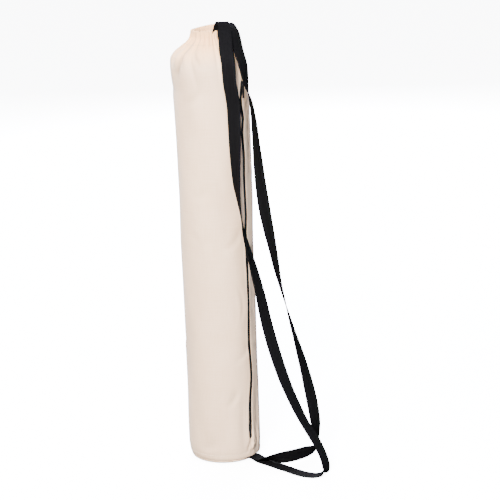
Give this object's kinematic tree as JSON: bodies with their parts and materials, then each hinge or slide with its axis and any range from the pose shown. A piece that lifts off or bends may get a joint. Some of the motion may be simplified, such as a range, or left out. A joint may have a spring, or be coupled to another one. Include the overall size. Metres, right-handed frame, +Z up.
{
  "type": "yoga mat bag",
  "caption": "Tall round canvas bag with a gathered drawstring neck, a long side zip, a flat sewn base and a webbing strap that doubles as the drawstring.",
  "frame": {"origin": "centre of the round base, on the floor that the bag stands on", "axes": "+Z up along the bag, +X out through the side zip and the strap's loop"},
  "size_m": [0.2608, 0.1383, 0.7027],
  "materials": {
    "canvas": "matte natural cotton canvas",
    "webbing": "black cotton webbing with fine lengthwise ribs",
    "zip_tape": "black woven zip tape",
    "zip_coil": "black nylon coil",
    "zip_slider": "black painted zinc"
  },
  "bodies": {
    "root": {"bag_tube": "canvas", "base_panel": "canvas", "zip_tape": "zip_tape", "zip_coil": "zip_coil", "zip_slider": "zip_slider", "strap": "webbing"}
  },
  "joints": []
}
